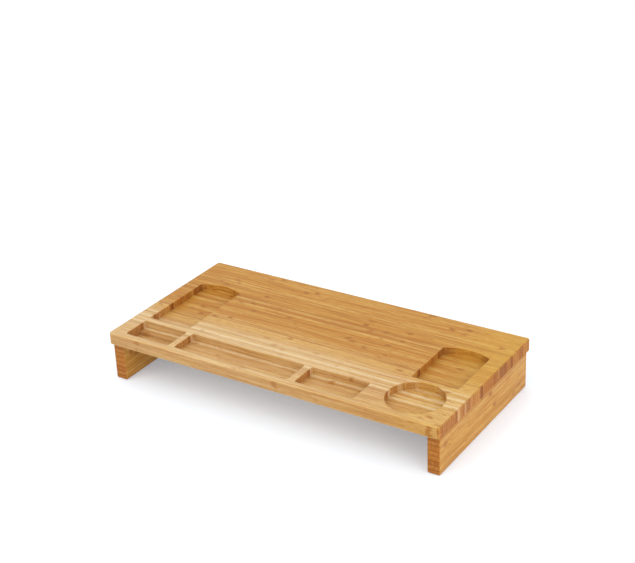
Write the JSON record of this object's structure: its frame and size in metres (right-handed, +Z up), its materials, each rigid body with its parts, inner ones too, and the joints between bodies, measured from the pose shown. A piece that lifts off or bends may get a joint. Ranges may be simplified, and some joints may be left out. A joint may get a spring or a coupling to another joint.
{
  "type": "monitor riser stand",
  "caption": "Low desktop riser: a flat bamboo board with routed pockets for phone, stapler, pens, clips, cup and notes, on two side legs with room under it.",
  "frame": {"origin": "on the surface that the riser stands on, under the middle of the board", "axes": "+X along the board's length, to the right of a user who sits at -Y; +Y from front to back; +Z up"},
  "size_m": [0.6, 0.302, 0.085],
  "materials": {
    "board_bamboo": "laminated bamboo, strips along the length, satin clear lacquer",
    "leg_bamboo": "laminated bamboo, strips front to back, satin clear lacquer",
    "dowel_beech": "unfinished turned beech",
    "zinc_steel": "bright zinc plate",
    "insert_brass": "turned brass",
    "pad_rubber": "matt black rubber"
  },
  "bodies": {
    "root": {"top_board": "board_bamboo", "leg_left": "leg_bamboo", "leg_right": "leg_bamboo", "dowel_left_front": "dowel_beech", "dowel_left_middle": "dowel_beech", "dowel_left_rear": "dowel_beech", "bolt_left_front": "zinc_steel", "washer_left_front": "zinc_steel", "insert_left_front": "insert_brass", "foot_pad_left_front": "pad_rubber", "bolt_left_rear": "zinc_steel", "washer_left_rear": "zinc_steel", "insert_left_rear": "insert_brass", "foot_pad_left_rear": "pad_rubber", "dowel_right_front": "dowel_beech", "dowel_right_middle": "dowel_beech", "dowel_right_rear": "dowel_beech", "bolt_right_front": "zinc_steel", "washer_right_front": "zinc_steel", "insert_right_front": "insert_brass", "foot_pad_right_front": "pad_rubber", "bolt_right_rear": "zinc_steel", "washer_right_rear": "zinc_steel", "insert_right_rear": "insert_brass", "foot_pad_right_rear": "pad_rubber"}
  },
  "joints": []
}
